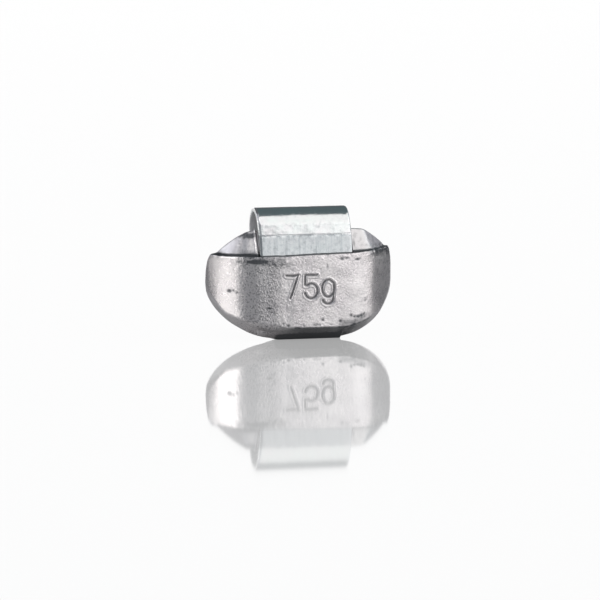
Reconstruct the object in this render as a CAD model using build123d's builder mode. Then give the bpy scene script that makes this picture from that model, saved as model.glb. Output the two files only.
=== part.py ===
"""Knock-on wheel balance weight: a cast lead body with a bent spring steel clip cast into it.

X runs along the wheel rim, the marked front face looks along -Y, and Z points up to the clip.
The weight stands on the flat stub left by the casting gate, at Z = 0.
"""

import os
from math import cos, radians, sin, sqrt, tan

from build123d import *

# Cast body, seen from the front
body_length = 43.2  # end to end along the rim
rim_height = 20.0  # floor to the top edge of the front face
face_bottom = 3.3  # floor to the lower edge of the front face
keel_height = 0.3  # floor to the lowest line of the underside
bilge_width = 16.1  # each bilge curve takes this much of the length and leaves a straight keel
bilge_height = 13.1  # floor to the level where the bilge curves stand upright
shoulder_drop = 2.4  # top corners of the ends are rounded off this far down
shoulder_inset = 1.2  # and this far in
top_edge_rounding = 0.5  # along the top edge of the front face

# Cast body, seen from the side; setbacks are measured back from the front face
keel_setback = 5.1  # lowest line of the underside
back_setback = 10.3  # rearmost line of the back
back_radius = 17.5  # rounding of the back, which lies in the hollow of the rim flange
back_centre_height = 12.65  # level of the rearmost line

# Cast body, seen from above
front_bow_radius = 150.0  # the front face is nearly flat
end_sweep = 6.1  # each swept end takes this much of the length
corner_run = 5.1  # and each rounded corner beside it this much
corner_setback = 2.5  # where the corner runs into the swept end
parting_land = 0.3  # upright strip that the halves of the mould leave along the ends
face_end_draft = 3.8  # how far the underside is drawn in at the ends, at the front face
keel_end_draft = 1.5  # the same at the lowest line

# Roof behind the front top edge, on both sides of the clip
ledge_width = 0.95  # front face to the foot of the slope
roof_slope = 60.0  # degrees from level
roof_end_margin = 1.1  # foot of the sloping ends, in from the ends of the body
roof_end_sweep = 4.5  # each sloping end takes this much of the length
roof_corner_run = 3.6  # and each rounded corner beside it this much
roof_corner_setback = 3.3  # where the corner runs into the sloping end
roof_root = 0.6  # how far the roof reaches down into the body
roof_rise = 7.4  # top edge up to where the slopes would end if the back did not cut them off
ridge_rounding = 0.7

# Clip
clip_width = 21.2
sheet = 1.1
crown_radius = 4.9  # outside of the crown
crown_height = 30.1  # floor to the top of the crown
clip_setback = 1.15  # front face to the clip, at the level of the top edge
clip_lean = 10.0  # degrees that the legs lean back from upright
hook_leg = 2.6  # straight end behind the crown
hook_corner = 1.5
tail_depth = 0.8  # straight part in the lead before the bend
tail_bend_radius = 2.0  # inside of the bend
tail_bend = 35.0  # degrees
tail_length = 7.5
anchor_hole = 5.0  # holes in the tail, filled with lead
anchor_pitch = 11.0

# Stub left by the casting gate, ground flat: the foot
stub_length = 14.6
stub_offset = 1.4  # its middle, along X
stub_front_setback = 3.3
stub_depth = 4.0
stub_height = 2.0

# Places worked out from the sizes above
half_length = body_length / 2
roof_end = half_length - roof_end_margin
end_setback = back_setback - parting_land
rear_setback = back_setback + back_radius
lean = radians(clip_lean)
crown_centre_height = crown_height - crown_radius
leg_top = crown_centre_height + crown_radius * sin(lean)
crown_setback = clip_setback + (leg_top - rim_height) * tan(lean) + crown_radius * cos(lean)
overall_depth = crown_setback + crown_radius


def behind(setback):
    """Y of a place that lies this far behind the front face; the clip's crown ends the depth."""
    return setback - overall_depth / 2


def plan_outline(nose, end, sweep, corner, corner_back):
    """The form from above: bowed front, rounded corners and swept ends, closed far behind."""
    flat = end - sweep - corner
    flat_back = nose + front_bow_radius - sqrt(front_bow_radius**2 - flat**2)
    with BuildLine() as outline:
        middle = ThreePointArc((-flat, behind(flat_back)), (0, behind(nose)), (flat, behind(flat_back)))
        rounded = TangentArc(middle @ 1, (end - sweep, behind(corner_back)), tangent=middle % 1)
        swept = TangentArc(rounded @ 1, (end, behind(end_setback)), tangent=rounded % 1)
        side = Line(swept @ 1, (end, behind(rear_setback)))
        mirror([rounded, swept, side], about=Plane.YZ)
        Line(side @ 1, (-end, behind(rear_setback)))
    return outline.edges()


def boat_outline(bottom, end_draft):
    """The form from the front: straight keel, elliptical bilges, upright ends and rounded shoulders."""
    keel = half_length - bilge_width
    end = half_length - end_draft
    with BuildLine() as outline:
        Line((0, bottom), (keel, bottom))
        bilge = EllipticalCenterArc(
            (keel, bilge_height), end - keel, bilge_height - bottom, start_angle=270, arc_size=90
        )
        side = Line(bilge @ 1, (end, rim_height - shoulder_drop))
        shoulder = TangentArc(side @ 1, (end - shoulder_inset, rim_height), tangent=side % 1)
        Line(shoulder @ 1, (0, rim_height))
        mirror(about=Plane.YZ)
    return outline.edges()


# Round bar whose rear side is the back of the casting
with BuildPart() as back_bar:
    with BuildSketch(Plane.YZ):
        with Locations((behind(back_setback - back_radius), back_centre_height)):
            Circle(back_radius)
    extrude(amount=body_length, both=True)

# Clip: one bent strip, drawn along the middle of the sheet
with BuildPart() as rim_clip:
    with BuildSketch(Plane.YZ):
        with BuildLine():
            crown = CenterArc(
                (behind(crown_setback), crown_centre_height), crown_radius - sheet / 2, 180 - clip_lean, -180
            )
            leg_length = (leg_top - rim_height) / cos(lean) + tail_depth
            leg = PolarLine(crown @ 0, leg_length, direction=(-sin(lean), -cos(lean)))
            bend = JernArc(leg @ 1, leg % 1, tail_bend_radius + sheet / 2, tail_bend)
            tail = PolarLine(bend @ 1, tail_length, direction=bend % 1)
            hook = PolarLine(crown @ 1, hook_leg, direction=crown % 1)
        trace(line_width=sheet)
    extrude(amount=clip_width / 2, both=True)
    tail_middle = tail @ 0.5
    tail_way = tail % 0.5
    tail_plane = Plane((0, tail_middle.X, tail_middle.Y), x_dir=(1, 0, 0), z_dir=(0, -tail_way.Y, tail_way.X))
    with BuildSketch(tail_plane):
        with GridLocations(anchor_pitch, 0, 2, 1):
            Circle(anchor_hole / 2)
    extrude(amount=sheet, both=True, mode=Mode.SUBTRACT)
    hook_tip = hook @ 1
    tip_face = rim_clip.faces().sort_by_distance((0, hook_tip.X, hook_tip.Y))[0]
    fillet(tip_face.edges().filter_by(Axis.X, reverse=True), hook_corner)
rim_clip.part.label = "rim_clip"

# Roof: an outline drawn in evenly on the way up, cut off by the rounded back
with BuildPart() as roof:
    with BuildSketch(Plane.XY.offset(rim_height - roof_root)):
        make_face(plan_outline(ledge_width, roof_end, roof_end_sweep, roof_corner_run, roof_corner_setback))
    extrude(amount=roof_root + roof_rise, taper=90 - roof_slope)
    add(back_bar.part, mode=Mode.INTERSECT)
    back_face = roof.faces().filter_by(GeomType.CYLINDER)[0]
    fillet(back_face.edges().sort_by(Axis.Z)[1:], ridge_rounding)

# Hull: boat outlines that widen towards the back
with BuildPart() as hull:
    for setback, bottom, end_draft in (
        (0, face_bottom, face_end_draft),
        (keel_setback, keel_height, keel_end_draft),
        (end_setback, keel_height, 0),
        (rear_setback, keel_height, 0),
    ):
        with BuildSketch(Plane.XZ.offset(-behind(setback))):
            make_face(boat_outline(bottom, end_draft))
    loft(ruled=True)

# Cast body: the plan with its rounded top edge, kept where the hull and the back bar overlap it
with BuildPart() as cast_body:
    with BuildSketch():
        make_face(plan_outline(0, half_length, end_sweep, corner_run, corner_setback))
    extrude(amount=rim_height)
    top_edges = cast_body.faces().sort_by(Axis.Z)[-1].edges().filter_by(GeomType.CIRCLE)
    fillet(top_edges, top_edge_rounding)
    add(hull.part, mode=Mode.INTERSECT)
    add(back_bar.part, mode=Mode.INTERSECT)
    add(roof.part)
    with BuildSketch():
        with Locations((stub_offset, behind(stub_front_setback + stub_depth / 2))):
            Rectangle(stub_length, stub_depth)
    extrude(amount=stub_height)
    add(rim_clip.part, mode=Mode.SUBTRACT)
cast_body.part.label = "cast_body"

os.makedirs("parts", exist_ok=True)
export_step(rim_clip.part, "parts/rim_clip.step")
export_step(cast_body.part, "parts/cast_body.step")
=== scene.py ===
# %% [markdown]
# # Knock-on wheel balance weight, 75 g
# A tyre fitter knocks this weight onto the edge of a steel wheel rim. A lump of lead gives the mass,
# and a bent steel clip, cast into the lead, grips the rim. The packed CAD model is loaded first as a
# fixed frame: everything below is made in that frame and stays inside its box.

# %% Load the packed model
import bmesh
import bpy
import numpy as np
from mathutils import Matrix, Vector


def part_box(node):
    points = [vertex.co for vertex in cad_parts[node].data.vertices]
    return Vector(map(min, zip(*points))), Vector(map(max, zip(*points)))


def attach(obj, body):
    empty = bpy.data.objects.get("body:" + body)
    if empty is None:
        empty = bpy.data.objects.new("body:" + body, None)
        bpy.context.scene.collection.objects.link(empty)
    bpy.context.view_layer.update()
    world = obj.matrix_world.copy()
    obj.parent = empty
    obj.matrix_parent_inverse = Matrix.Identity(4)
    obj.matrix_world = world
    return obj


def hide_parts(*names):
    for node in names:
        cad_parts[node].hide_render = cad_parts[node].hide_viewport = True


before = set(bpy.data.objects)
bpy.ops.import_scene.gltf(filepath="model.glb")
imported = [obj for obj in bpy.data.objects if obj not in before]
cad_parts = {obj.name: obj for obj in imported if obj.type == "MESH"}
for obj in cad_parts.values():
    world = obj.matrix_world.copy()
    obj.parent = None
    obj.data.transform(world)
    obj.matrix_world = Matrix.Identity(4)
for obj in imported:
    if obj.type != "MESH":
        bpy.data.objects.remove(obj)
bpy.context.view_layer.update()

MM = 0.001  # shapes are worked out in millimetres and stored in metres
lead_low, lead_high = (np.array(corner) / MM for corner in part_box("cast_body"))
clip_low, clip_high = (np.array(corner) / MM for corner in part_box("rim_clip"))
print("lead", lead_low.round(2), lead_high.round(2), "clip", clip_low.round(2), clip_high.round(2))

# %% [markdown]
# ## The camera
# A product photographer takes so small a thing with a long lens from nearly a metre away, which keeps
# its upright edges parallel. Angle and height were fitted to edges measured in the photograph. The
# camera looks straight ahead and is moved sideways and down until the weight stands where it does there,
# because moving it keeps the perspective and tilting it would not.

# %% Camera
bearing, climb = np.radians(-11.75), np.radians(8.48)  # from a little left of the front, and from above
lens_distance, frame_width = 0.9, 0.1357  # metres
slide_left, slide_down = 0.00048, 0.00317  # metres
aim = Vector((0, 0, 0.012))  # the middle of the front face
away = Vector((np.sin(bearing) * np.cos(climb), -np.cos(bearing) * np.cos(climb), np.sin(climb)))
right = Vector((np.cos(bearing), np.sin(bearing), 0.0))
up = away.cross(right)
camera = bpy.data.objects.new("camera", bpy.data.cameras.new("camera"))
camera.data.lens = camera.data.sensor_width * lens_distance / frame_width
camera.data.clip_start = 0.01
camera.matrix_world = Matrix((right, up, away)).transposed().to_4x4()
camera.location = aim + away * lens_distance - right * slide_left - up * slide_down
bpy.context.scene.collection.objects.link(camera)
bpy.context.scene.camera = camera
print("lens %.0f mm" % camera.data.lens)

# %% [markdown]
# ## Rounded corners out of distances
# The casting is described by distances: each of its surfaces gives, for any point, how far the point
# lies outside of it, in millimetres. It could also be cut out of blocks and bevelled, but a bevel fails
# where many surfaces meet. The larger of two distances is the overlap of two forms. Where both are small
# the point is near their common edge, and there a circle of the edge's radius takes over. So every edge
# gets the small radius that molten metal leaves.

# %% Rounded overlap and rounded union
def overlap(a, b, radius):
    """Distance to the overlap of two forms: the larger distance, with a circular edge of the given radius."""
    rounded = np.hypot(np.maximum(a + radius, 0), np.maximum(b + radius, 0))
    return np.minimum(np.maximum(a, b), -radius) + rounded


def union(a, b, radius):
    """Distance to two forms run together: the smaller distance, with a circular fillet in the corner."""
    return -overlap(-a, -b, radius)


print("a corner of radius 1 is cut back by %.2f" % overlap(0.0, 0.0, 1.0))


# %% Fades and bells
def fade(value, start, full):
    """The share of the way from start to full, kept in 0 to 1: 0 before start, 1 beyond full."""
    return np.clip((value - start) / (full - start), 0, 1)


def bell(value, middle, width):
    """1 at the middle, falling off to both sides: e to the minus square of the distance in widths."""
    return np.exp(-(((value - middle) / width) ** 2))


print("fade half way:", fade(1.5, 1, 2), "and bell one width off: %.2f" % bell(3.0, 2.0, 1.0))

# %% [markdown]
# ## The casting from above
# From above, the front face is nearly flat, its corners are rounded, and the ends sweep back to the
# parting line of the mould. These are three arcs that run on in each other's direction, the same on
# both sides. Arcs are chosen because the distance to one is simple and exact. The roof behind the top
# edge has such an outline too, drawn in as it rises.

# %% Plan outlines
half_length = lead_high[0]
front = lead_low[1]  # Y of the front face; depths below are measured back from it
land = 10.0  # depth at which the swept ends run into the upright strip along the parting line
bow = 150.0  # radius of the front face


def plan(nose, end, sweep, corner, corner_depth):
    """Arcs of half an outline as (point, heading, centre, radius): each arc leaves its point along its
    heading, and its radius is half the chord over the sine of the angle between chord and heading."""
    flat = end - sweep - corner
    flat_depth = nose + bow - np.sqrt(bow**2 - flat**2)
    points = np.array([[0, nose], [flat, flat_depth], [end - sweep, corner_depth], [end, land]])
    heading, arcs = 0.0, []
    for start, finish in zip(points, points[1:]):
        chord = finish - start
        angle = np.arctan2(chord[1], chord[0]) - heading
        radius = np.hypot(*chord) / (2 * np.sin(angle))
        arcs.append((start, heading, start + radius * np.array([-np.sin(heading), np.cos(heading)]), radius))
        heading += 2 * angle
    return arcs


def plan_distance(arcs, side, depth):
    """How far a point lies outside an outline: its distance from the centre of the arc that it faces, less
    the arc's radius."""
    distance = None
    for start, heading, centre, radius in arcs:
        here = np.hypot(side - centre[0], depth - centre[1]) - radius
        beyond = (side - start[0]) * np.cos(heading) + (depth - start[1]) * np.sin(heading) > 0
        distance = here if distance is None else np.where(beyond, here, distance)
    return distance


body_plan = plan(nose=0.0, end=half_length, sweep=6.1, corner=5.1, corner_depth=2.5)
roof_left, roof_right = (
    plan(nose=0.95, end=half_length - margin, sweep=4.5, corner=3.6, corner_depth=3.3)
    for margin in (1.1, 0.2)
)
print("radii from the middle to the end:", [round(arc[3], 1) for arc in body_plan])

# %% [markdown]
# ## The casting from the front and from the side
# From the front the casting is a boat: a straight keel, two elliptical bilges and upright ends. The
# bilges are drawn in more at the front than at the parting line, so that the casting drops out of the
# mould. From the side the back is one large round, which lies in the hollow of the rim flange. The
# levels below repeat the CAD sizes, with the small unevenness that the photograph shows on top.

# %% Levels and lengths of the boat
rim, bilge = 20.0, 13.1  # levels of the top edge and of the bilges' centres
back_radius, back_depth, back_middle = 17.5, -7.2, 12.65  # the round back, and depth and level of its centre
rear = 10.3  # depth of the rearmost line
keel_line = 5.1  # depth of the lowest line of the underside
rim_places = [-22, -20, -18.7, -17.3, -15.5, -14, -10, -5, 0, 5, 9, 12, 15, 17.5, 22]
rim_rises = [-0.22, -0.33, -0.42, -0.33, -0.15, -0.1, -0.26, -0.26, -0.07, 0.02, 0.1, 0.18, 0.38, 0.42, 0.6]


def keel(x):
    """Half length of the straight keel: the bilge is a little fuller on the right."""
    return np.where(x > 0, 7.0, 5.5)


def rim_level(x):
    """Level of the top edge, even between its places: it sags at the left and climbs to the right."""
    return rim + np.interp(x, rim_places, rim_rises)


def draft(depth):
    """Lower edge and half length of the boat at a depth: both change evenly from the front to the keel, and
    from there to the parting line."""
    depths = [0, keel_line, land]
    return np.interp(depth, depths, [3.3, 0.3, 0.3]), half_length - np.interp(depth, depths, [3.8, 1.5, 0])


print("top edge at the left, the middle and the right:", rim_level(np.array([-20, 0, 20])).round(2))


# %% Hull and shoulders
def hull_distance(x, depth, z):
    """How far a point lies outside the boat. Its reach is its way from the bilge's centre, counted in half
    sizes of the ellipse. The distance is the reach less one, times the reach, over the length of the two
    shares of the way, each divided by its half size."""
    bottom, end = draft(depth)
    half_width, half_height = end - keel(x), bilge - bottom
    across = np.maximum(np.abs(x) - keel(x), 0) / half_width
    down = np.maximum(bilge - z, 0) / half_height
    reach = np.maximum(np.hypot(across, down), 1e-6)
    return (reach - 1) * reach / np.maximum(np.hypot(across / half_width, down / half_height), 1e-6)


def shoulder_distance(x, depth, z):
    """How far a point lies outside the upright ends and the rounded top corners: the length of the two ways
    past the corner's centre, less its radius. The left corner is rounder than the right."""
    end = draft(depth)[1]
    radius = np.where(x < 0, 3.0, 0.5)
    top = np.where(x < 0, rim + 0.6, rim_level(x) + 0.5)
    return np.hypot(np.maximum(np.abs(x) - end + radius, 0), np.maximum(z - top + radius, 0)) - radius


below_keel = hull_distance(np.zeros(1), np.array([keel_line]), 0.0)[0]
print("the floor lies %.2f mm below the keel" % below_keel)

# %% [markdown]
# ## Roof, stub and slit
# The roof slopes up from a narrow ledge behind the top edge until the round back cuts it off. The gate
# where the lead was poured in leaves a stub under the keel, and on this stub the weight stands. At the
# edges of the clip, the lead shrank away and left a slit. Each is again a distance, so that all of them
# can be run together with rounded corners.

# %% Roof, stub and slit as distances
roof_angle = np.radians(60)
roof_root = 0.6  # how far the roof reaches down into the body
stub_left, slant = -5.9, 3.3  # X of the stub's left side at the floor, and its run outward for each mm up
stub_right, stub_front, stub_back, stub_top = 8.7, 2.0, 7.3, 2.0  # X, two depths and a level
slit_middle, slit_half = 10.75, 0.15  # distance of the slits from the middle, and half their width
lean = np.radians(10)  # of the clip's legs
leg_y, leg_level = -3.213, 25.955  # a point in the middle of the strip


def roof_distance(x, depth, z, back):
    """How far a point lies outside the roof: the overlap of the slope and the back. The slope is the distance
    to the roof's outline, plus the height over the tangent of the slope's angle, times its sine."""
    side = np.abs(x)
    foot = np.where(x < 0, plan_distance(roof_left, side, depth), plan_distance(roof_right, side, depth))
    slope = (foot + (z - rim + roof_root) / np.tan(roof_angle)) * np.sin(roof_angle)
    lip = 0.26 * bell(x, -11.15, 0.26)  # molten lead climbed a little at the left end of the clip
    return overlap(np.maximum(slope - lip, rim - roof_root - z), back - lip * bell(depth, 4.4, 1.5), 0.7)


def stub_distance(x, depth, z):
    """How far a point lies outside the stub: the largest of the distances to its sides, its front, its top
    and its foot. The left side slants, and the front was knocked flush with the underside."""
    worn = draft(depth)[0] - 0.3 * fade(depth, stub_front, keel_line) - z
    slanted = (stub_left - x - slant * z) / 3.45
    sides = overlap(np.maximum(x - stub_right, slanted), depth - stub_back, 0.5)
    block = np.maximum(np.maximum(sides, stub_front - depth), z - stub_top)
    return overlap(block, np.maximum(worn * 0.86, -z), 0.1)


def slit_distance(x, depth, z):
    """How far a point lies outside the slits: the largest of the distances to their sides, to a plane along
    the leaning clip, and to the top edge."""
    sides = np.abs(np.abs(x) - slit_middle) - slit_half
    behind_clip = depth + front - leg_y - (z - leg_level) * np.tan(lean)
    return np.maximum(np.maximum(sides, behind_clip - 1.7), rim_level(x) - 0.1 - z)


over_stub = stub_distance(np.zeros(1), np.array([5.0]), stub_top + 1.0)[0]
print("a point 1 mm above the stub lies %.2f mm outside of it" % over_stub)

# %% The whole casting as one distance
top_round, back_round, slit_round = 0.4, 0.3, 0.06  # radii of the edges
roof_fillet, stub_fillet = 0.25, 0.15


def lead_distance(x, depth, z):
    """How far a point lies outside the casting: the overlap of plan, top, hull, shoulders and back, run
    together with the roof and the stub, less the slits."""
    back = np.hypot(depth - back_depth, z - back_middle) - back_radius
    inside = plan_distance(body_plan, np.abs(x), depth)
    rise = 0.15 + 0.4 * bell(x, -14, 5)  # the ledge behind the top edge climbs a little to the roof
    top = z - rim_level(x) - rise * (np.clip(-inside, 0, 1.5) - 0.5)
    hull = np.maximum(hull_distance(x, depth, z), shoulder_distance(x, depth, z))
    hull_round = 0.35 + 0.5 * bell(x, -8.5, 4.5)  # the lower edge is worn left of the middle
    body = overlap(overlap(overlap(inside, top, top_round), hull, hull_round), back, back_round)
    whole = union(body, roof_distance(x, depth, z, back), roof_fillet)
    whole = union(whole, stub_distance(x, depth, z), stub_fillet)
    return overlap(whole, -slit_distance(x, depth, z), slit_round)


tried = lead_distance(np.zeros(3), np.array([0, 0.5, 5.3]), np.array([10, 20, 0.0]))
print("distance at the front, the top and the keel:", tried.round(3))

# %% [markdown]
# ## The skin of the casting
# The skin is a grid. One way it runs along the weight, the other way round each cross-section. A guide
# loop through the corners of the cross-section says in which directions the points lie, seen from its
# middle, and in each direction the skin is found by halving the interval in which the distance changes
# sign. A remesher would spread its points evenly, but here they lie closest where the marking and the
# edges need them.

# %% Stations along the weight
def spread(breaks, steps):
    """Points from break to break, evenly spaced at about the step of each stretch."""
    parts = [
        np.linspace(a, b, max(int(round((b - a) / step)), 1), endpoint=False)
        for a, b, step in zip(breaks, breaks[1:], steps)
    ]
    return np.concatenate(parts + [[breaks[-1]]])


tip = half_length - 0.02
stations = spread(
    [-tip, -tip + 0.3, -19, -11.8, -10.4, -5.4, 7.2, 10.4, 11.1, 19, tip - 0.3, tip],
    [0.03, 0.12, 0.17, 0.06, 0.17, 0.085, 0.17, 0.06, 0.17, 0.12, 0.03],
)
side = np.abs(stations)
headings = [arc[1] for arc in body_plan] + [np.pi / 2]
outline = []
for (_, start, centre, radius), stop in zip(body_plan, headings[1:]):
    turned = start + (stop - start) * np.linspace(0, 1, 400)
    outline.append(centre + radius * np.stack([np.sin(turned), -np.cos(turned)], axis=1))
outline = np.concatenate(outline)
wall = np.interp(side, outline[:, 0], np.minimum(outline[:, 1], land))  # depth of the front face
print("%d stations; the front face falls back by %.1f mm at the ends" % (len(stations), wall.max()))


# %% Lower edge, top edge, keel and ridge at each station
def back_level(depth, sign):
    """Upper or lower level of the round back at a depth: its centre, plus or minus the upright side of a
    right-angled triangle that has the radius as its long side."""
    return back_middle + sign * np.sqrt(np.maximum(back_radius**2 - (depth - back_depth) ** 2, 0))


def hull_level(depth):
    """Level of the underside at a depth, at every station: the bilge's centre less the height of the
    ellipse there."""
    bottom, end = draft(depth)
    across = np.clip((side - keel(stations)) / (end - keel(stations)), 0, 1)
    return bilge - (bilge - bottom) * np.sqrt(1 - across**2)


low_edge = np.maximum(hull_level(wall), back_level(wall, -1))
top_edge = np.minimum(rim_level(stations), back_level(wall, 1))
keel_depth = np.full_like(side, 5.2)
for _ in range(30):  # where the underside meets the back, drawing nearer from both
    on_back = back_depth + np.sqrt(back_radius**2 - (back_middle - hull_level(keel_depth)) ** 2)
    keel_depth = 0.5 * keel_depth + 0.5 * on_back
keel_depth = np.maximum(keel_depth, wall)
ridge_depth = np.maximum(np.interp(side, [12.4, 19.3], [4.4, 8.8]), np.minimum(wall, 10.2))
print("lower edge of the front face from %.1f to %.1f mm" % (low_edge.min(), low_edge.max()))


# %% Guide loops round the cross-sections
def pair(depths, levels):
    """Points of the cross-sections, one for each station, from their depths and levels."""
    return np.stack(np.broadcast_arrays(depths, levels), axis=-1)


middle_level = 12.8
middle = pair((wall + rear) / 2, middle_level)
foot_depth = np.minimum(wall + 1.2, ridge_depth)
gate_depth = np.maximum(keel_depth + 0.3 * (rear - keel_depth), wall)
under_depth = wall + 0.62 * (keel_depth - wall)
corners = {
    "low": pair(wall, low_edge),
    "top": pair(wall, top_edge),
    "foot": pair(foot_depth, np.minimum(rim_level(stations), back_level(foot_depth, 1))),
    "ridge": pair(ridge_depth, back_level(ridge_depth, 1)),
    "rear": pair(np.full_like(side, rear), back_middle),
    "gate": pair(gate_depth, back_level(gate_depth, -1)),
    "keel": pair(under_depth, np.maximum(hull_level(under_depth), back_level(under_depth, -1))),
}
around = [
    ("low", "top", spread([0, 0.04, 0.28, 0.76, 0.94, 1], [0.005, 0.013, 0.0052, 0.012, 0.005])),
    ("top", "foot", spread([0, 1], [1 / 12])),
    ("foot", "ridge", spread([0, 1], [1 / 26])),
    ("ridge", "rear", spread([0, 0.1, 1], [0.02, 0.06])),
    ("rear", "gate", spread([0, 1], [1 / 16])),
    ("gate", "keel", spread([0, 1], [1 / 18])),
    ("keel", "low", spread([0, 0.9, 1], [0.06, 0.02])),
]
guide = np.concatenate([
    corners[a][:, None] + (corners[b] - corners[a])[:, None] * steps[None, :-1, None]
    for a, b, steps in around
], axis=1)
print("%d stations, %d points round each" % guide.shape[:2])

# %% Find the skin along each direction
ways = guide - middle[:, None]
length = np.linalg.norm(ways, axis=-1)
ways = ways / np.maximum(length, 1e-6)[..., None]
along = np.broadcast_to(stations[:, None], length.shape)


def outward_by(reach):
    """Points of the grid at these distances from the middles of their cross-sections: X, depth and Z."""
    return along, middle[:, None, 0] + reach * ways[..., 0], middle[:, None, 1] + reach * ways[..., 1]


longest, halvings = 24.0, 28  # no cross-section reaches further from its middle
near, far = np.zeros_like(length), np.full_like(length, longest)
for _ in range(halvings):
    half = (near + far) / 2
    outside = lead_distance(*outward_by(half)) > 0
    near, far = np.where(outside, near, half), np.where(outside, half, far)
skin = np.stack(outward_by(near), axis=-1)
print("skin from", skin.min((0, 1)).round(2), "to", skin.max((0, 1)).round(2))


# %% Directions square to the skin
def slope_of(form, points, step=0.03):
    """Direction in which the distance grows fastest: differences over a short step along each axis, divided
    by their common length."""
    shifts = np.eye(3) * step
    steep = np.stack([
        form(*np.moveaxis(points + s, -1, 0)) - form(*np.moveaxis(points - s, -1, 0)) for s in shifts
    ], axis=-1)
    return steep / np.maximum(np.linalg.norm(steep, axis=-1, keepdims=True), 1e-9)


outward = slope_of(lead_distance, skin)
to_front, upward = -outward[..., 1], outward[..., 2]
facing = fade(to_front, 0.75, 0.95)  # 1 on the front face, 0 on the rest
forward = fade(to_front, 0.3, 0.6)  # the same, with the rounded corners
print("%.0f %% of the points lie on the front face" % (100 * facing.mean()))

# %% [markdown]
# ## The figures
# The mould stamps the weight into the front face as plain figures, 75g, which come out as shallow
# grooves with soft lips. They could be cut out with a text object, but a font has sharp corners and a
# maker's punch has not. So each figure is a drawn line, and the groove is a smooth step in the distance
# from it.

# %% Helpers for drawn lines
def stroke_distance(x, z, line):
    """Distance from points of the front face to a drawn line: the least distance to its straight pieces."""
    line = np.array(line, dtype=float)
    best = np.full(x.shape, 99.0)
    for a, b in zip(line, line[1:]):
        way = b - a
        t = np.clip(((x - a[0]) * way[0] + (z - a[1]) * way[1]) / (way @ way), 0, 1)
        best = np.minimum(best, np.hypot(x - a[0] - t * way[0], z - a[1] - t * way[1]))
    return best


def bow_line(centre, width, tall, start, stop, count=24):
    """Points of an elliptical arc between two angles in degrees: the centre, plus half the width times the
    cosine and half the height times the sine."""
    t = np.radians(np.linspace(start, stop, count))
    return np.stack([centre[0] + width * np.cos(t), centre[1] + tall * np.sin(t)], axis=1)


print("three points of a half circle:", bow_line((0, 0), 1, 1, 0, 180, 3).round(2).tolist())

# %% The figures as grooves
stem = [(5.4, 13.85), (6.1, 13.3), (6.22, 12.1), (6.0, 10.4)]
figures = [
    [(-4.8, 15.25), (-3.4, 15.1), (-2.05, 15.3), (-2.7, 13.4), (-3.8, 10.05)],
    [(2.25, 15.2), (-0.45, 15.25), (-0.5, 13.0)],
    np.concatenate([[(-0.5, 13.0)], bow_line((0.9, 11.6), 1.45, 1.68, 128, -165)]),
    bow_line((4.85, 12.1), 1.38, 1.95, 62, 318),
    np.concatenate([stem, bow_line((4.78, 9.75), 1.22, 1.15, 0, -165)]),
]
x, depth, z = np.moveaxis(skin, -1, 0)
to_stroke = np.minimum.reduce([stroke_distance(x, z, line) for line in figures])
ramp = fade(to_stroke, 0.05, 0.41)
groove = facing * (1 - ramp**2 * (3 - 2 * ramp))
soft_lip = facing * bell(to_stroke, 0.55, 0.14)
print("points in the grooves:", int((groove > 0.5).sum()))

# %% [markdown]
# ## What the mould and the tyre shop left on the lead
# Lead is soft, so a casting that has lain in a box with others has dents, pits and rubbed corners. All of
# this is a height in millimetres, added along the direction square to the skin, so that it is in the mesh
# and not only in the finish. It could be sculpted by hand, but a list of places is easier to change. Random
# heights come from a table of numbers with a fixed seed, which gives the same weight on every run.

# %% Helpers for marks
def lattice_noise(points, size, seed):
    """Smooth random heights from -1 to 1: random numbers on a cubic lattice of the given mesh size, blended
    with the curve 3t^2 - 2t^3 between the eight corners of each cell."""
    table = np.random.default_rng(seed).uniform(-1, 1, (48, 48, 48))
    place = points / size
    cell = np.floor(place).astype(int)
    t = place - cell
    t = t * t * (3 - 2 * t)
    total = 0.0
    for corner in np.ndindex(2, 2, 2):
        weight = np.prod(np.where(np.array(corner) == 1, t, 1 - t), axis=-1)
        total = total + weight * table[tuple(np.moveaxis((cell + corner) % 48, -1, 0))]
    return total


def patch(middle_x, middle_z, wide, tall):
    """How far each point lies from the middle of a patch of the front, counted in the patch's half sizes."""
    return np.hypot((x - middle_x) / wide, (z - middle_z) / tall)


above_rim = z - rim_level(x)
above_low = z - low_edge[:, None]
print("points above the top edge:", int((above_rim > 0).sum()))

# %% Pits
pits = [  # x, z, half width, half height, depth
    (-17.1, 11.6, 0.35, 0.38, 0.14), (-16.3, 11.8, 0.2, 0.32, 0.09), (-15.6, 11.4, 0.2, 0.3, 0.08),
    (-8.7, 7.9, 0.6, 0.2, 0.13), (-8.3, 7.1, 0.5, 0.16, 0.05), (11.7, 18.45, 0.6, 0.2, 0.12),
    (3.5, 5.0, 0.3, 0.25, 0.10), (7.6, 4.6, 0.35, 0.25, 0.10), (-15.0, 18.4, 0.6, 0.4, 0.06),
    (8.0, 18.75, 0.45, 0.3, 0.09), (9.1, 18.85, 0.4, 0.22, 0.08), (4.5, 17.2, 0.22, 0.9, 0.035),
    (10.1, 5.75, 0.3, 0.3, 0.1), (10.9, 5.5, 0.3, 0.2, 0.1), (11.8, 5.5, 0.4, 0.2, 0.12),
    (12.6, 5.75, 0.3, 0.25, 0.1), (13.3, 6.0, 0.2, 0.3, 0.08), (-5.6, 4.4, 0.3, 0.2, 0.08),
    (-4.4, 3.9, 0.4, 0.25, 0.08), (-1.2, 7.1, 0.5, 0.3, 0.03), (13.6, 9.0, 0.3, 0.25, 0.05),
]
pitted = sum(deep * np.exp(-(patch(px, pz, wide, tall) ** 2)) for px, pz, wide, tall, deep in pits)
print("%d pits, up to %.2f mm deep" % (len(pits), pitted.max()))

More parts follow.
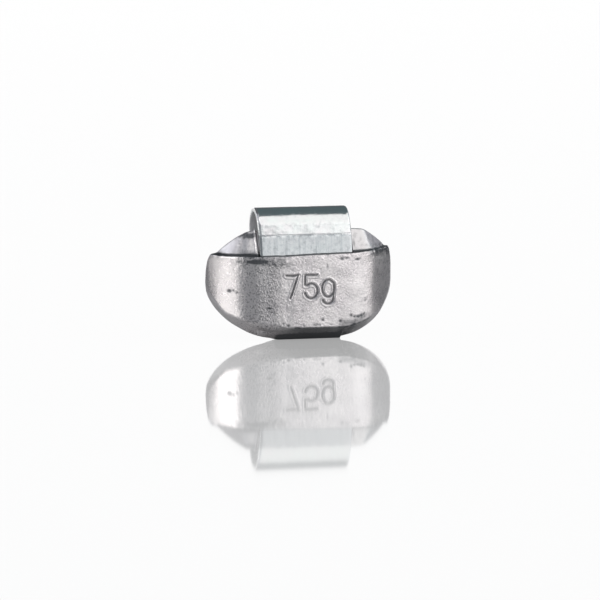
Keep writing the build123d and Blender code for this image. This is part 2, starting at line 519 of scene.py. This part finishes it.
# %% Grain, swell and worn edges
grainy = np.maximum(fade(x, 2, -6), 0.3) * np.maximum(fade(x, -19, -15), 0.3)  # the left half is coarser
grain = 0.014 * lattice_noise(skin, 0.9, 3) + 0.016 * lattice_noise(skin, 0.45, 4)
swell = 0.06 * lattice_noise(skin, 6.0, 5) + 0.03 * lattice_noise(skin, 2.4, 6)
edge = fade(np.abs(above_rim), 0.9, 0) * fade(depth - wall[:, None], 3, 0)
nicks = edge * np.minimum(lattice_noise(skin, 0.9, 7), 0) * 0.12
low_line = fade(np.abs(above_low - 0.3), 0.7, 0) * fade(x, -9, -6) * fade(x, 14, 12) * forward
ragged = low_line * np.clip(1.6 * lattice_noise(skin * [0.6, 1, 1], 0.55, 13) - 0.3, 0, 1)
corner_rub = fade(x, 14, 16.5) * fade(np.abs(above_rim + 0.6), 2, 0)
rubbed = corner_rub * (0.20 * lattice_noise(skin * [1, 1, 1.6], 0.7, 8) - 0.05)
rough_patch = 0.45 * np.clip(1.6 - 1.6 * patch(-6.5, 18.4, 4.0, 1.6), 0, 1)
print("nicks down to %.2f mm, rubbed corner from %.2f to %.2f mm" % (nicks.min(), rubbed.min(), rubbed.max()))

# %% [markdown]
# ## Dirt and painted shade
# Shade is painted in the crease behind the top edge, where dirt sits too, along the top edge and the roof's
# foot at the left, in the hollow by the clip, in the right slit, and on the gate and the underside. Handling
# has smeared the front, and the middle-left of the front carries a painted dark reflection. These places
# follow the shape, so each is worked out here for every point, from 0 to 1, and the finish reads the sum.
# They could be painted on a picture, but then the skin would have to be unwrapped.

# %% Smears on the front face, painted shade along its top edge, and a painted dark reflection
blot = np.exp(-(patch(-19.8, 19.7, 1.9, 0.8) ** 2)) * np.clip(0.8 + lattice_noise(skin, 0.8, 9), 0, 1)
# Painted dark reflection: the middle-left of the front face is darker.
mid_left_dark_reflection = facing * fade(x, -16.5, -14.5) * fade(x, -4.8, -7.8)
streaks = lattice_noise(skin * [0.5, 1, 1], 0.5, 11)
smudge = facing * np.clip(2.2 - 1.6 * patch(-11.6, 18.6, 2.3, 0.6) + 0.9 * streaks, 0, 1)
specked = facing * np.clip(1.5 - patch(-14.9, 18.2, 1.6, 1.2), 0, 1)
specked = specked * np.clip(2 * lattice_noise(skin, 0.4, 10), 0, 1)
# Painted shade: the top edge is darkened at the left, where it meets the ledge.
top_edge_shade = forward * fade(x, -16, -15.2) * fade(x, -11.8, -12.4) * fade(np.abs(above_rim + 0.25), 0.5, 0)
print("points under the smudge:", int((smudge > 0.5).sum()))

# %% Painted shade on the ledge, the left roof and the underside, with some dirt on the ledge
# Painted shade with some dirt: the crease where the top edge meets the ledge is darkened.
ledge = fade(upward, 0.4, 0.65) * fade(np.abs(above_rim), 0.42, 0.07)
# Painted shade along the foot of the left roof, near the clip.
foot_shade = fade(x, -17, -14) * fade(x, -10.3, -10.7)
foot_shade = foot_shade * fade(above_rim, 1.375, 0.125) * fade(above_rim, -0.2, 0)
# The left roof is a little darker above the ledge.
left_roof_darkening = fade(x, -11.3, -11.8) * fade(x, -17, -15) * fade(z, rim + 0.6, rim + 1.0) * fade(z, 24.6, 24.3)
# Painted shade in the hollow left of the clip, below the ridge.
hollow = np.clip(2.2 - 1.8 * patch(-12.9, 24.1, 2.0, 0.8) + 0.8 * lattice_noise(skin, 0.6, 12), 0, 1)
hollow = hollow * fade(to_front, 0.3, 0.5)
# Painted shade on the stub and the underside round the gate, where the weight meets the sheet.
gate = fade(np.abs(x - 1.4), 8.6, 7.4) * fade(z, 1.9, 1.1) * fade(-upward, 0.2, 0.5)
# Painted shade on the underside, strongest near the middle.
under_shade_places = [-13, -9.4, -6.6, -3.6, -0.6, 5.1, 8.1, 10.4, 12.5, 15]
under_shade_shares = [0, 0.25, 0.34, 0.66, 0.83, 0.8, 0.57, 0.44, 0.18, 0]
under_shade = np.interp(x, under_shade_places, under_shade_shares) * fade(-upward, 0.3, 0.55)
# Both numbers are painted shade, the ledge's with some dirt.
print("mean dirt on the ledge %.3f, on the underside %.3f" % (ledge.mean(), under_shade.mean()))

# %% Specks at the right, painted shade in the right slit, and all stains and painted shade together
low_smear = forward * fade(x, 6.5, 8.5) * fade(x, 15.5, 14) * fade(above_low, 2, 1)
low_smear = low_smear * np.clip(0.9 + 0.6 * lattice_noise(skin, 0.7, 14), 0, 1)
on_roof = fade(x, 10.8, 11.2) * fade(above_rim, 0.3, 0.6)
on_end = fade(x, 15.5, 17) * fade(above_rim, -0.3, -0.6)
# Painted shade in the slit right of the clip.
chink_shade = np.exp(-(patch(11.3, 21.9, 0.22, 0.7) ** 2)) * fade(above_rim, 0.3, 0.6)
blemish = (0.22 * on_roof + 0.35 * on_end) * np.clip(2.2 * lattice_noise(skin, 0.65, 15) - 0.25, 0, 1)
stain_and_shade_parts = [  # strength, place
    (1.0, blemish), (0.7, chink_shade), (1.0, under_shade), (0.6, top_edge_shade), (0.65, low_smear), (0.85, ledge),
    (0.95, gate), (0.95, blot), (0.75, foot_shade), (0.1, left_roof_darkening), (0.2, mid_left_dark_reflection), (0.95, smudge),
    (0.8, specked), (0.75, hollow),
]
# All stains and painted shade together, from 0 to 1.
soot = np.clip(sum(strength * place for strength, place in stain_and_shade_parts), 0, 1)
print("%d kinds of stain, mean %.2f" % (len(stain_and_shade_parts), soot.mean()))

# %% Put the marks on the skin
lip_height, groove_depth, burr_depth = 0.05, 0.28, 0.12
set_back = 0.08  # of the front face, so that lips and swell are not cut off at the CAD box
marking = lip_height * soft_lip - groove_depth * groove
height = marking + grainy * grain + swell - forward * pitted - burr_depth * ragged + nicks + rubbed
height = (height - set_back * facing) * fade(z, 0, 0.6)  # the foot stays flat
skin = skin + outward * height[..., None]
skin = np.clip(skin, [-half_length, 0, 0], [half_length, 99, 99])  # nothing stands out of the CAD box
print("marks from %.2f to %.2f mm" % (height.min(), height.max()))

# %% [markdown]
# ## The mesh of the casting
# The grid of points becomes one closed mesh: neighbours make four-sided faces, and a fan closes each end.
# Whole arrays are handed to Blender at once, which is far quicker than adding faces one by one. Numbers
# such as dirt and painted shade are stored on the points, so that the finish follows the shape.

# %% Mesh from rows of points
def skin_mesh(name, rows):
    """Mesh from rows of points: neighbours along a row and across rows make four-sided faces, each row
    closes on itself, and a point in the middle of the first and last rows closes the ends."""
    count, around = rows.shape[:2]
    index = np.arange(count * around).reshape(count, around)
    after = np.roll(index, -1, axis=1)
    quads = np.stack([index[:-1], index[1:], after[1:], after[:-1]], axis=-1).reshape(-1, 4)
    points = np.concatenate([rows.reshape(-1, 3), rows[0].mean(0)[None], rows[-1].mean(0)[None]])
    caps = np.concatenate([
        np.stack([np.full(around, count * around), index[0], after[0]], axis=-1),
        np.stack([np.full(around, count * around + 1), after[-1], index[-1]], axis=-1),
    ])
    mesh = bpy.data.meshes.new(name)
    mesh.vertices.add(len(points))
    mesh.vertices.foreach_set("co", (points * MM).astype(np.float32).ravel())
    corners = np.concatenate([quads.ravel(), caps.ravel()]).astype(np.int32)
    starts = np.concatenate([np.arange(len(quads)) * 4, len(quads) * 4 + np.arange(len(caps)) * 3])
    mesh.loops.add(len(corners))
    mesh.loops.foreach_set("vertex_index", corners)
    mesh.polygons.add(len(starts))
    mesh.polygons.foreach_set("loop_start", starts.astype(np.int32))
    mesh.polygons.foreach_set("use_smooth", np.ones(len(starts), dtype=bool))
    mesh.update(calc_edges=True)
    mesh.validate()
    piece = bpy.data.objects.new(name, mesh)
    bpy.context.scene.collection.objects.link(piece)
    return piece


casting = skin_mesh("lead_casting", skin + [0, front, 0])
print("lead casting: %d points" % len(casting.data.vertices))


# %% Numbers on the points, and welding
def paint(piece, name, values):
    """Stores one number for each point of a piece, and 0 for the two points that close its ends."""
    flat = np.concatenate([values.ravel(), [0.0, 0.0]]).astype(np.float32)
    piece.data.attributes.new(name, "FLOAT", "POINT").data.foreach_set("value", flat)


def weld(piece):
    """Joins points that lie within a thousandth of a millimetre, so that no face is without area."""
    form = bmesh.new()
    form.from_mesh(piece.data)
    bmesh.ops.remove_doubles(form, verts=form.verts, dist=0.001 * MM)
    form.to_mesh(piece.data)
    form.free()


paint(casting, "groove", np.clip(1.7 * groove - 0.7, 0, 1))
paint(casting, "pit", np.clip(forward * pitted / 0.08 + 0.8 * ragged, 0, 1))
paint(casting, "face", forward * fade(above_rim, 0.4, 0))
paint(casting, "rubbed", np.maximum(corner_rub, facing * rough_patch))
paint(casting, "soot", soot)
weld(casting)
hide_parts("cast_body")
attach(casting, "root")
print("lead casting: %d faces" % len(casting.data.polygons))

# %% [markdown]
# ## The clip
# The clip is cut from spring steel strip, bent in a press and plated with zinc. Its section, a wide flat
# bar with edges rounded by the shears, is carried along the bent middle line: up out of the lead, over
# the crown and down into the short hook. A profile on a path keeps the strip's thickness through every
# bend, as the press does. The hook's corners are cut round.

# %% Middle line of the clip
crown_radius, sheet = 4.9, 1.1
line_radius = crown_radius - sheet / 2
crown = np.array([clip_high[1] - crown_radius, clip_high[2] - crown_radius])  # Y and Z of its centre
crown_foot = 165.0  # degrees, where the crown runs into the front leg


def run(start, heading, length, turn, count):
    """Points and headings along a straight or evenly turning stretch: the heading grows by turn over the
    length, and the way walked is the sum of short steps along the heading at the middle of each step."""
    headings = heading + turn * np.linspace(0, 1, count)
    halfway = (headings[1:] + headings[:-1]) / 2
    steps = length / (count - 1) * np.stack([np.cos(halfway), np.sin(halfway)], axis=1)
    return start + np.concatenate([[[0, 0]], np.cumsum(steps, axis=0)]), headings


crown_angle = np.linspace(np.radians(crown_foot), -lean, 110)
crown_line = crown + line_radius * np.stack([np.cos(crown_angle), np.sin(crown_angle)], axis=1)
hook, hook_heading = run(crown_line[-1], -np.pi / 2 - lean, 2.6, 0, 24)
stretches = [  # length, turn in degrees, points; from the crown's foot down to the end of the tail
    (1.9, 0, 20), (0.9, 7.2, 12), (4.55, 0, 44),  # the press left a kink in the leg
    (2.55 * np.radians(35), 35, 16), (7.5, 0, 20),  # the bend in the lead, and the tail
]
point, way, down = crown_line[0], np.radians(crown_foot - 270), []
for distance, turn, count in stretches:
    points, angles = run(point, way, distance, np.radians(turn), count)
    point, way = points[-1], angles[-1]
    down.insert(0, (points[:0:-1], angles[:0:-1] + np.pi))
line = np.concatenate([points for points, _ in down] + [crown_line, hook[1:]])
heading = np.concatenate([angles for _, angles in down] + [crown_angle - np.pi / 2, hook_heading[1:]])
walked = np.concatenate([[0], np.cumsum(np.linalg.norm(np.diff(line, axis=0), axis=1))])
print("strip length %.1f mm" % walked[-1])

# %% Section of the strip
turns = np.radians(np.linspace(90, 0, 10))
across = np.linspace(-0.93, 0.93, 59)
rolled = np.stack([0.6 * (1 - np.cos(turns)), 0.5 * sheet - 0.28 * (1 - np.sin(turns))], axis=1)  # drawn over
sharp = np.stack([0.15 * (1 - np.cos(turns)), 0.15 * (1 - np.sin(turns)) - 0.5 * sheet], axis=1)[::-1]
edge_side = np.concatenate([rolled, sharp])  # inset from the edge, then height out of the strip
loop = np.concatenate([  # share of the half width, inset, height
    np.stack([across, 0 * across, 0 * across + 0.5 * sheet], axis=1),
    np.insert(edge_side, 0, 1, axis=1),
    np.stack([across[::-1], 0 * across, 0 * across - 0.5 * sheet], axis=1),
    np.insert(edge_side[::-1], 0, -1, axis=1),
])[::-1]  # round this way the faces look outward
print("%d points round the section" % len(loop))

# %% The section carried along the line
hook_corner, tip_run = 1.5, 0.25  # rounding of the hook's corners, and length over which its tip thins
to_end = walked[-1] - walked
round_off = np.sqrt(hook_corner**2 - (hook_corner - np.minimum(to_end, hook_corner)) ** 2)
half_width = (clip_high[0] - clip_low[0]) / 2 - hook_corner + round_off
thin = np.sqrt(np.clip(1 - (1 - np.minimum(to_end, tip_run) / tip_run) ** 2, 0, 1))
off = np.clip(thin, 0.55, 1)[:, None] * loop[None, :, 2]
flat = half_width[:, None] * loop[None, :, 0] - np.sign(loop[None, :, 0]) * loop[None, :, 1]
flat = flat - np.interp(walked, [12.5, 17.5, 28], [0, 0.3, 0.48])[:, None]  # the bend is not quite square
out = np.stack([-np.sin(heading), np.cos(heading)], axis=1)
strip = np.stack([
    flat, line[:, None, 0] + off * out[:, None, 0], line[:, None, 1] + off * out[:, None, 1]
], axis=-1)
clip = skin_mesh("steel_clip", strip)
paint(clip, "leg", fade(walked[:, None], 14.3, 13.6) * np.ones_like(off))  # below the kink
paint(clip, "inner", np.clip(-off / (0.5 * sheet), 0, 1))
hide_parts("rim_clip")
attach(clip, "root")
print("steel clip: %d faces, up to %.2f mm" % (len(clip.data.polygons), strip[..., 2].max()))

# %% [markdown]
# ## Materials as sums
# A finish is a sum of small causes: grain, dirt and painted shade in the low places, scratches, rubbed edges.
# The class below lets a material's values be added and multiplied like numbers, and each sum becomes nodes.
# That is easier to read and to change than a picture of wires.

# %% Values that build shader nodes
class Value:
    """One output in a node graph. Sums and products of values make Math nodes."""

    def __init__(self, tree, socket):
        self.tree, self.socket = tree, socket

    def node(self, kind, inputs, out=0, **settings):
        """Any other node: its type, its inputs by name or number (values or numbers) and its settings."""
        made = self.tree.nodes.new(kind)
        for key, setting in settings.items():
            setattr(made, key, setting)
        for key, given in inputs.items():
            if isinstance(given, Value):
                self.tree.links.new(given.socket, made.inputs[key])
            else:
                made.inputs[key].default_value = given
        return Value(self.tree, made.outputs[out])

    def math(self, operation, other):
        """This value and another through one Math node, such as the larger of the two."""
        return self.node("ShaderNodeMath", {0: self, 1: other}, operation=operation)

    # A plus, minus or times sign makes a Math node, also where a plain number comes first.
    def __add__(self, other):
        return self.math("ADD", other)

    def __mul__(self, other):
        return self.math("MULTIPLY", other)

    def __rsub__(self, other):
        return self.node("ShaderNodeMath", {0: other, 1: self}, operation="SUBTRACT")

    __radd__, __rmul__ = __add__, __mul__

    def painted(self, name):
        """A number that was painted on the piece's points."""
        return self.node("ShaderNodeAttribute", {}, out="Fac", attribute_name=name)

    def part(self, axis):
        """One coordinate of a place or a direction: 0, 1 or 2."""
        return self.node("ShaderNodeSeparateXYZ", {0: self}, out=axis)

    def ray(self, kind):
        """1 for light paths of a kind, such as those that the lens sees, and 0 for others."""
        return self.node("ShaderNodeLightPath", {}, out=kind)

    def between(self, low, high):
        """0 below low, 1 above high, and a smooth step between."""
        limits = {"Value": self, "From Min": low, "From Max": high}
        return self.node("ShaderNodeMapRange", limits, interpolation_type="SMOOTHSTEP")

    def noise(self, scale, detail, stretch=(1, 1, 1)):
        """Noise from 0 to 1 at this place, with a scale in cells per metre and a stretch along each axis."""
        place = self.node("ShaderNodeVectorMath", {0: self, 1: stretch}, operation="MULTIPLY")
        inputs = {"Vector": place, "Scale": scale, "Detail": detail, "Roughness": 0.55}
        return self.node("ShaderNodeTexNoise", inputs)

    def blend(self, first, second):
        """A colour that is first where this value is 0 and second where it is 1."""
        return self.node("ShaderNodeMix", {"Factor": self, 6: first, 7: second}, out=2, data_type="RGBA")

    def bump(self, strength, distance):
        """A surface direction that leans as if this value were a height of so many metres."""
        return self.node("ShaderNodeBump", {"Height": self, "Strength": strength, "Distance": distance})


def new_material(name):
    """A material with its shader and the object coordinates as the first value."""
    material = bpy.data.materials.new(name)
    material.use_nodes = True
    tree = material.node_tree
    place = tree.nodes.new("ShaderNodeTexCoord")
    return material, tree.nodes["Principled BSDF"], Value(tree, place.outputs["Object"])


def feed(value, shader, name):
    """Links a value to one of a shader's sockets."""
    value.tree.links.new(value.socket, shader.inputs[name])


print("a value knows:", ", ".join(name for name in vars(Value) if not name.startswith("_")))

# %% [markdown]
# ## Cast lead
# Fresh lead is bright, and in air it goes dull and a little warm. The skin is grained by the mould, the
# grooves of the figures are darkened as painted shade, and dirt and oxide stay in the pits. Lead is a metal
# without paint,
# so its colour is what it reflects: the finish is metal all over, and dirt and painted shade make it darker
# and rougher.

# %% Lead material
# The dark colour serves both for dirt and for painted shade.
dulled, fresh, soiled_and_shaded = (0.69, 0.655, 0.665, 1), (0.78, 0.75, 0.75, 1), (0.125, 0.13, 0.138, 1)
lead, shader, place = new_material("cast_lead")
rub = place.painted("rubbed")
lengthwise = place.part(0)
smooth_right = 1.0 - lengthwise.between(-0.0085, -0.004) * 0.68
smooth_left = 0.12 + lengthwise.between(-0.0167, -0.0138) * 0.88
coarser = smooth_right * smooth_left * (0.35 + place.painted("face") * 0.65)
fine, coarse, cloud = place.noise(2500, 1), place.noise(900, 3), place.noise(150, 3)
specks = fine.between(0.50, 0.66) * coarser * 0.5
# Painted shade in the grooves of the figures, and dirt in the pits.
groove_shade_and_pit_dirt = place.painted("groove") * 0.85 + place.painted("pit") * 0.85
# Dirt and painted shade together, with the specks.
dirt_and_shade = groove_shade_and_pit_dirt + coarse.between(0.62, 0.85) * 0.2 + specks
dirt_and_shade = (dirt_and_shade + rub * coarse.between(0.38, 0.52) + place.painted("soot")).math("MINIMUM", 1.0)
tone = cloud.between(0.3, 0.7).blend(dulled, fresh)
feed(dirt_and_shade.blend(tone, soiled_and_shaded), shader, "Base Color")
feed(0.20 + cloud * 0.08 + fine * 0.10 + dirt_and_shade * 0.2, shader, "Roughness")
shader.inputs["Metallic"].default_value = 1.0
heights = (fine * 0.7 + coarse * 0.3) * coarser + rub * place.noise(1500, 2, stretch=(0.5, 1, 1)) * 1.9
feed(heights.bump(1.0, 0.00018), shader, "Normal")
casting.data.materials.append(lead)
print("cast lead: %d nodes" % len(lead.node_tree.nodes))

# %% [markdown]
# ## Zinc on the clip
# Bright zinc is a thin, slightly blue metal film over the steel. Bending in the press crazes it on the
# crown, and the drawn strip keeps fine scratches along its length. The leg below the kink is greyer, as
# the mould touched it, and the inside of the strip is dull. Stretched noise draws the scratches, because
# there are too many to draw one by one.

# %% Zinc material
warm_film, cool_film, greyed = (0.815, 0.80, 0.805, 1), (0.80, 0.83, 0.82, 1), (0.36, 0.385, 0.40, 1)
zinc, shader, place = new_material("bright_zinc")
scratch = place.noise(3600, 3, stretch=(1, 0.02, 0.02))
mottle, film = place.noise(1100, 4), place.noise(260, 3)
wave = place.noise(420, 2, stretch=(0.5, 1, 1))
inner, on_leg = place.painted("inner"), place.painted("leg")
kink_line = on_leg * (1.0 - on_leg) * (0.5 + mottle.between(0.35, 0.65) * 1.5)
stain = mottle.between(0.42, 0.72) * 0.06 + scratch.between(0.45, 0.65) * on_leg * 0.11 + on_leg * 0.76
stain = (stain + kink_line).math("MINIMUM", 1.0)
tone = film.between(0.3, 0.7).blend(warm_film, cool_film)
feed(stain.blend(tone, greyed), shader, "Base Color")
feed(0.15 + scratch * on_leg * 0.07 + mottle.between(0.45, 0.8) * 0.10 + inner * 0.4, shader, "Roughness")
feed(1.0 - inner * 0.75, shader, "Metallic")
heights = scratch * 0.12 + mottle * 0.2 + wave * (1.9 - on_leg * 1.7)
feed(heights.bump(0.6, 0.00006), shader, "Normal")
clip.data.materials.append(zinc)
print("bright zinc: %d nodes" % len(zinc.node_tree.nodes))

# %% [markdown]
# ## The sheet that the weight stands on
# The weight stands on a glossy white sheet, which mirrors it. The lens sees the sheet as plain white, by
# its own light and not by more lamps, and a little paper in it takes the weight's shadow. Metal sees the
# white too, by a smaller share, because the underside of the weight is dark. A Fresnel value mixes in the
# gloss, which is strong at this flat angle.

# %% Floor
drop = 0.00002  # metres below the foot, so that the two do not touch
floor_mesh = bpy.data.meshes.new("floor")
floor_mesh.from_pydata([(-2, -2, 0), (2, -2, 0), (2, 3, 0), (-2, 3, 0)], [], [(0, 1, 2, 3)])
floor = bpy.data.objects.new("floor", floor_mesh)
floor.location.z = -drop
bpy.context.scene.collection.objects.link(floor)
print("floor: %d face, %.2f mm below the foot" % (len(floor_mesh.polygons), drop / MM))

# %% White sheet material
metal_share, paper_share, gloss_gain = 0.12, 0.12, 1.42
sheet_finish, shader, place = new_material("white_sheet")
tree = sheet_finish.node_tree
tree.nodes.remove(shader)
lens_ray, metal_ray = place.ray("Is Camera Ray"), place.ray("Is Glossy Ray")
glass_ray = place.ray("Is Transmission Ray")
seen_white = lens_ray.math("MAXIMUM", metal_ray * metal_share).math("MAXIMUM", glass_ray)
matt = place.node("ShaderNodeBsdfDiffuse", {"Color": (0.56, 0.56, 0.56, 1)})
white = place.node("ShaderNodeEmission", {"Color": (1, 1, 1, 1), "Strength": 1.0})
paper = place.node("ShaderNodeBsdfDiffuse", {"Color": (0.97, 0.97, 0.97, 1)})
gloss = place.node("ShaderNodeBsdfGlossy", {"Color": (0.85, 0.85, 0.85, 1), "Roughness": 0.045})
shine = place.node("ShaderNodeFresnel", {"IOR": 1.5}) * gloss_gain
bright = place.node("ShaderNodeMixShader", {0: paper_share, 1: white, 2: paper})
under = place.node("ShaderNodeMixShader", {0: seen_white, 1: matt, 2: bright})
whole = place.node("ShaderNodeMixShader", {0: shine, 1: under, 2: gloss})
tree.links.new(whole.socket, tree.nodes["Material Output"].inputs["Surface"])
floor_mesh.materials.append(sheet_finish)
print("white sheet: %d nodes" % len(tree.nodes))

# %% [markdown]
# ## Soft boxes
# Polished metal shows its lamps, so their places are read from the bright bands in the photograph. A large
# box hangs above and to the right in front, which lights the roof and the crown. One stands at the left,
# and a wide low one at the right, which makes the right half of the front face bright up to a sharp edge.

# %% Lamps
def soft_box(name, bearing, elevation, distance, size, radiance):
    """A rectangular lamp that faces the weight from a bearing (0 in front, 90 at the right) and an elevation
    in degrees. Its power is its radiance times its area times pi."""
    lamp = bpy.data.lights.new(name, "AREA")
    lamp.shape, lamp.size, lamp.size_y = "RECTANGLE", size[0], size[1]
    lamp.energy = radiance * size[0] * size[1] * np.pi
    lamp.color = (1.0, 0.985, 0.965)  # a little warm
    box = bpy.data.objects.new(name, lamp)
    b, e = np.radians(bearing), np.radians(elevation)
    toward = Vector((np.sin(b) * np.cos(e), -np.cos(b) * np.cos(e), np.sin(e)))
    box.location = aim + toward * distance
    box.rotation_euler = (-toward).to_track_quat("-Z", "Y").to_euler()
    bpy.context.scene.collection.objects.link(box)
    print("%s: %.2f W" % (name, lamp.energy))


soft_box("box_above", 42, 46, 1.0, (1.2, 1.02), 0.99)
soft_box("box_left", -84, 17, 0.9, (0.40, 0.46), 3.15)
soft_box("box_right", 48.4, 6.2, 0.9, (1.63, 0.21), 1.48)

# %% [markdown]
# ## The room
# The rest of the room is dim and a little cold, which draws the dark band over the crown and the dark right
# end. Its walls are told apart by direction alone, as no wall is near enough to be seen in place. A white
# backdrop stands behind the weight for metal and for light, and the lens sees white all round.

# %% Room and backdrop
world = bpy.data.worlds.new("room")
bpy.context.scene.world = world
world.use_nodes = True
tree = world.node_tree
way = Value(tree, tree.nodes.new("ShaderNodeTexCoord").outputs["Generated"])
to_right, to_back, to_top = way.part(0), way.part(1), way.part(2)
to_left, to_lens = 0.0 - to_right, 0.0 - to_back
backdrop = to_back.between(0.70, 0.90) * (1.0 - to_top.between(0.25, 0.42))
front_wall = to_lens.between(0.1, 0.6) * (1.0 - to_top.between(0.3, 0.7))
right_wall = to_right.between(0.5, 0.85) * to_top.between(0.18, 0.32)
left_wall = to_left.between(0.64, 0.74) * to_back.between(0.08, 0.24)
left_wall = left_wall * to_top.between(0.30, 0.42) * (1.0 - to_top.between(0.62, 0.72))
front_high = to_lens.between(-0.1, 0.05) * to_top.between(0.45, 0.6) * (1.0 - to_right.between(0.0, 0.14))
room = 0.13 + front_wall * 0.2 + right_wall * 0.4 + left_wall * 1.5 + front_high * 0.40
print("walls by direction: %d nodes" % len(tree.nodes))

# %% Colour and strength of the room
lens_ray = way.ray("Is Camera Ray")
background = tree.nodes["Background"]
cold, greenish, white = (0.94, 0.985, 1.06, 1), (0.73, 1.02, 1.09, 1), (1, 1, 1, 1)
green_top = to_top.between(0.5, 0.75) * to_right.between(0.08, 0.18)
dim = green_top.blend(cold, greenish)
feed(backdrop.math("MAXIMUM", lens_ray).blend(dim, white), background, "Color")
lit_backdrop = backdrop * (1.18 - room) * (1.0 - lens_ray)
feed(room + lit_backdrop + lens_ray * (1.0 - room), background, "Strength")
bpy.context.scene.view_settings.view_transform = "Standard"
print("room: %d nodes" % len(tree.nodes))

# %% [markdown]
# ## Sizes
# Whoever uses the part trusts the CAD sizes, so the finished pieces may not stand out of the CAD model's box.
